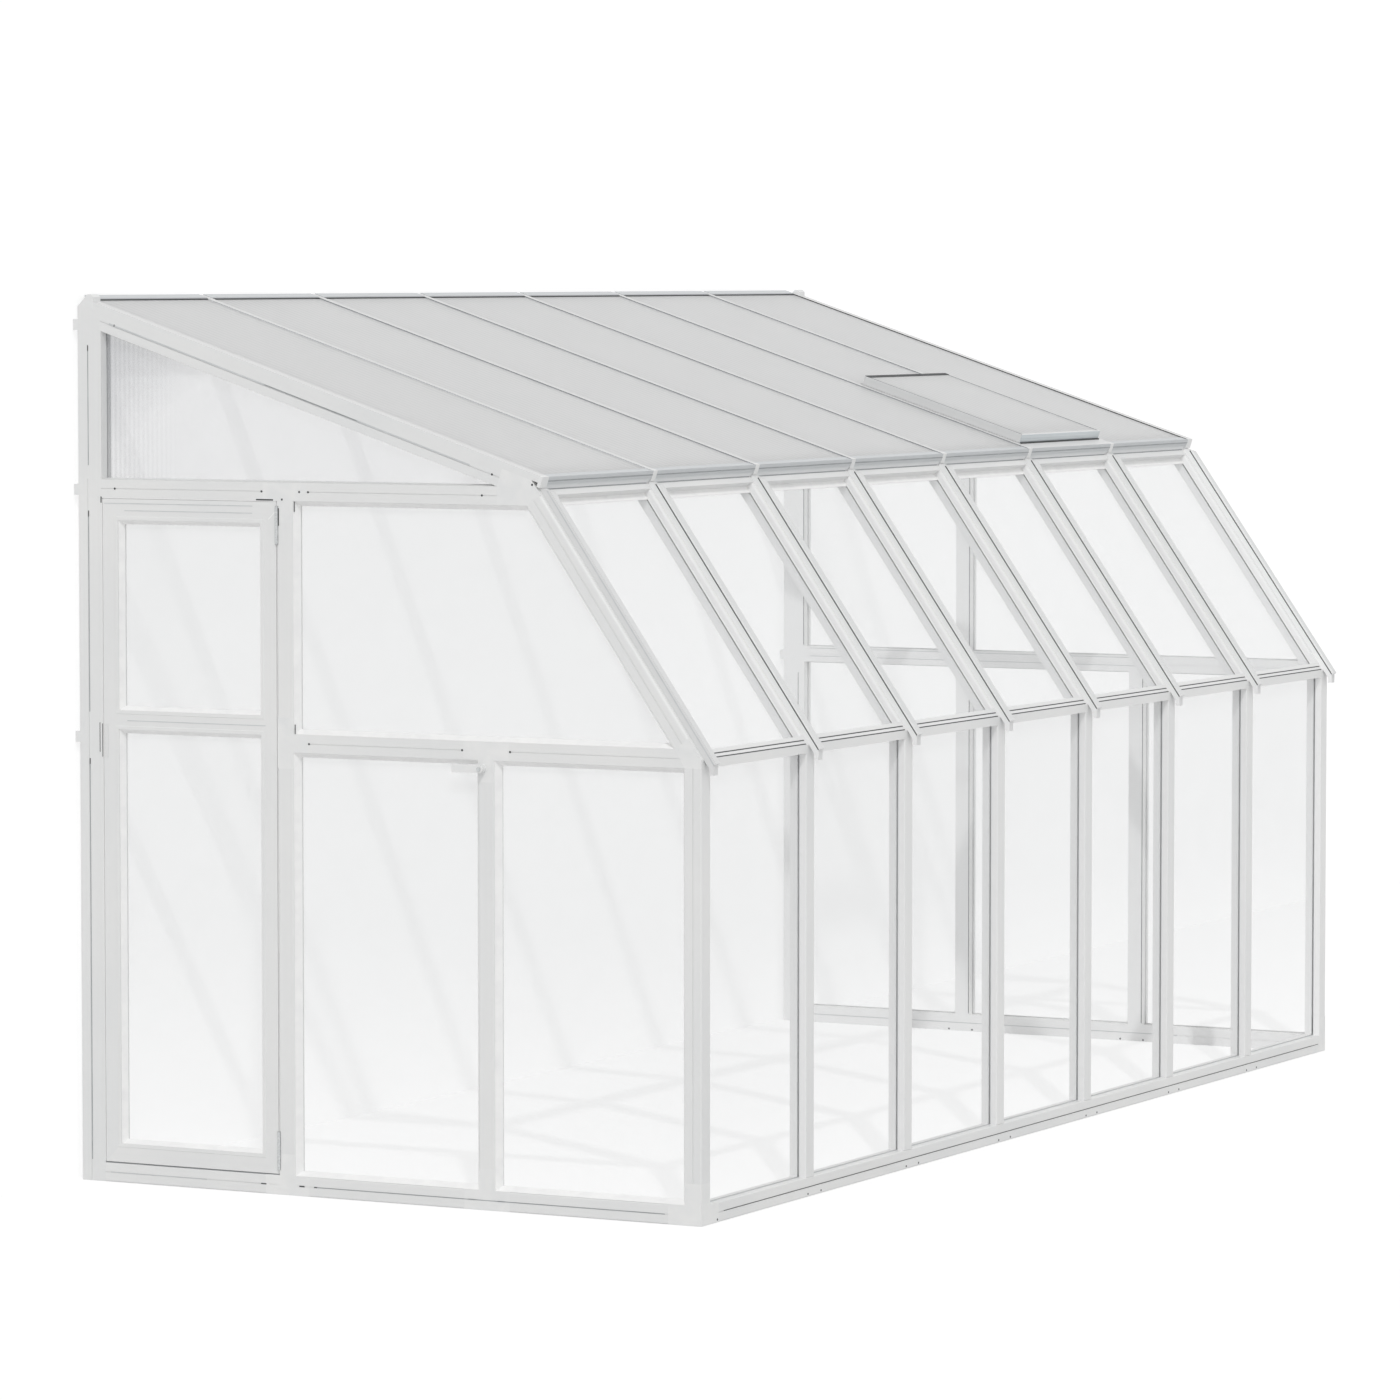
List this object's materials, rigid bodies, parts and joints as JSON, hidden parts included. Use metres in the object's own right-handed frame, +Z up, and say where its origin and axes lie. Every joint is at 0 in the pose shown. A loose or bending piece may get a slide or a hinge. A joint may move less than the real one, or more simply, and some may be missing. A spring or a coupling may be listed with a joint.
{
  "type": "sunroom",
  "caption": "Lean-to resin sunroom with an upright glazed front, slanted glazing, a twin wall roof with a vent, and a hinged door in the end wall.",
  "frame": {"origin": "middle of the bounding box, on the ground under the sills", "axes": "+X along the length from the door end to the plain end, +Y towards the house wall, +Z up"},
  "size_m": [4.414, 2.0006, 2.4676],
  "materials": {
    "resin": "white extruded and moulded resin, satin",
    "acrylic": "clear cast acrylic",
    "twinwall": "opal twin wall polycarbonate",
    "aluminium": "mill finish",
    "steel": "zinc plated",
    "latch": "light grey moulded nylon"
  },
  "bodies": {
    "frame": {"front_sill": "resin", "left_sill": "resin", "right_sill": "resin", "base_corners": "resin", "corner_posts": "resin", "front_posts": "resin", "end_mullions": "resin", "door_post": "resin", "right_end_post": "resin", "wall_posts": "resin", "front_rail": "resin", "left_mid_rail": "resin", "right_mid_rail": "resin", "top_beams": "resin", "eave_beam": "resin", "wall_plate": "resin", "slant_bars": "resin", "roof_rafters": "resin", "knees": "resin", "elbows": "resin", "left_tees": "resin", "right_tees": "resin", "slant_beads": "resin", "roof_covers": "resin", "eave_caps": "resin", "wall_caps": "resin", "wall_pads": "resin", "vent_crossbar": "resin", "vent_curb": "resin", "vent_hinge_cheeks": "resin", "catch_boss": "resin", "front_panes": "acrylic", "slant_panes": "acrylic", "left_panes": "acrylic", "right_panes": "acrylic", "roof_sheets": "twinwall", "gable_sheets": "twinwall", "eave_trims": "aluminium", "ridge_strips": "aluminium", "hinge_frame_leaves": "steel", "hinge_pins": "steel", "catch_screw": "steel", "latch_keeper": "latch"},
    "door": {"door_hinge_stile": "resin", "door_latch_stile": "resin", "door_top_rail": "resin", "door_mid_rail": "resin", "door_bottom_rail": "resin", "door_panes": "acrylic", "hinge_door_leaves": "steel", "latch_case": "latch", "latch_plate": "latch"},
    "vent": {"vent_sash": "resin", "vent_sheet": "twinwall", "vent_trim": "aluminium", "vent_stay_lug": "aluminium", "vent_stay_pin": "steel"},
    "bolt": {"latch_bolt": "latch"},
    "stay": {"vent_stay_arm": "aluminium"},
    "catch": {"catch_lever": "resin"}
  },
  "joints": [
    {"name": "door_swing", "type": "hinge", "parent": "frame", "child": "door", "pos_m": [-2.183, 0.34484, 1], "axis": [0, 0, 1], "range_deg": [0, 150]},
    {"name": "latch_slide", "type": "slide", "parent": "door", "child": "bolt", "axis": [0, 1, 0], "range_m": [0, 0.016]},
    {"name": "vent_swing", "type": "hinge", "parent": "frame", "child": "vent", "pos_m": [1.252, 0.1075, 2.19136], "axis": [-1, 0, 0], "range_deg": [0, 45]},
    {"name": "stay_swing", "type": "hinge", "parent": "vent", "child": "stay", "pos_m": [1.252, -0.38661, 2.00356], "axis": [-1, 0, 0], "range_deg": [0, 70]},
    {"name": "catch_turn", "type": "hinge", "parent": "frame", "child": "catch", "pos_m": [-2.193, -0.29866, 1.196], "axis": [1, 0, 0], "range_deg": [-90, 90]}
  ]
}
